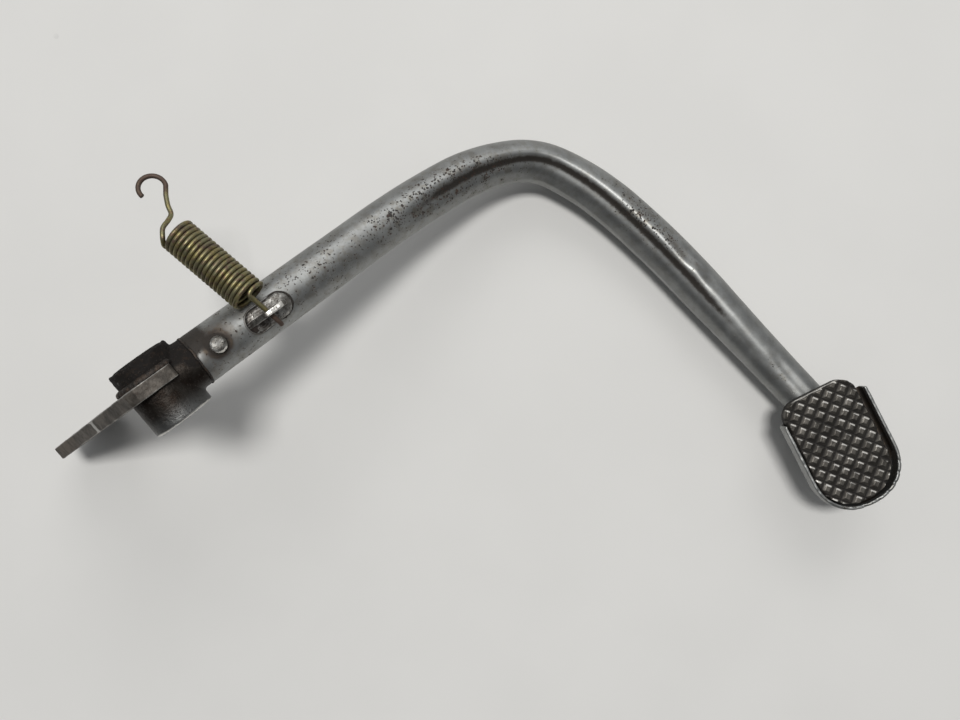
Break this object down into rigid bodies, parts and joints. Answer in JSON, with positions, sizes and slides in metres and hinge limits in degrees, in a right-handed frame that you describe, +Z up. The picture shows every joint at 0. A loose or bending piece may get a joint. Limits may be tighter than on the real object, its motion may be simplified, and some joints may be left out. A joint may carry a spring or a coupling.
{
  "type": "brake pedal",
  "caption": "Foot brake pedal: bent steel tube on a riveted pivot hub, with a plate lever for the brake rod, a diamond-treaded foot pad and a hooked return spring.",
  "frame": {"origin": "centre of the pivot bore, at the middle of the arm's width", "axes": "the pedal as it lies on a flat surface: +Z up from the surface, +X from the hub towards the foot pad, +Y away from the foot pad's side"},
  "size_m": [0.3471, 0.1526, 0.0927],
  "materials": {
    "plated_tube": "satin zinc plating, pitted and speckled with rust",
    "hub_steel": "scorched and rusty steel, bare at the worn end",
    "weld_bead": "rough dark weld bead",
    "rivet_steel": "hammered head with a rust ring",
    "lever_steel": "dull grey-brown bare plate",
    "lug_steel": "scratched pressed sheet",
    "tray_steel": "light grey pressed sheet",
    "tread_steel": "oily dark steel with worn bright points",
    "spring_wire": "yellow passivated zinc, tarnished"
  },
  "bodies": {
    "pedal": {"pivot_hub": "hub_steel", "arm_tube": "plated_tube", "hub_seam_weld": "weld_bead", "hub_rivet": "rivet_steel", "rod_lever": "lever_steel", "lever_weld": "weld_bead", "spring_lug": "lug_steel", "lug_weld": "weld_bead", "pad_tray": "tray_steel", "pad_weld": "weld_bead", "tread_plate": "tread_steel", "tread_weld": "weld_bead"},
    "return_spring": {"spring_coil": "spring_wire", "spring_lug_hook": "spring_wire"},
    "frame_hook": {"spring_frame_hook": "spring_wire"}
  },
  "joints": [
    {"name": "spring_swing", "type": "hinge", "parent": "pedal", "child": "return_spring", "pos_m": [0.03697, 0.02512, -0.00024], "axis": [0.7043, 0.608, -0.3665], "range_deg": [0, 24]},
    {"name": "spring_stretch", "type": "slide", "parent": "return_spring", "child": "frame_hook", "axis": [-0.7618, 0.6478, -0.0021], "range_m": [0, 0.015], "stiffness_N_per_m": 700, "deforming": ["spring_coil"]}
  ]
}
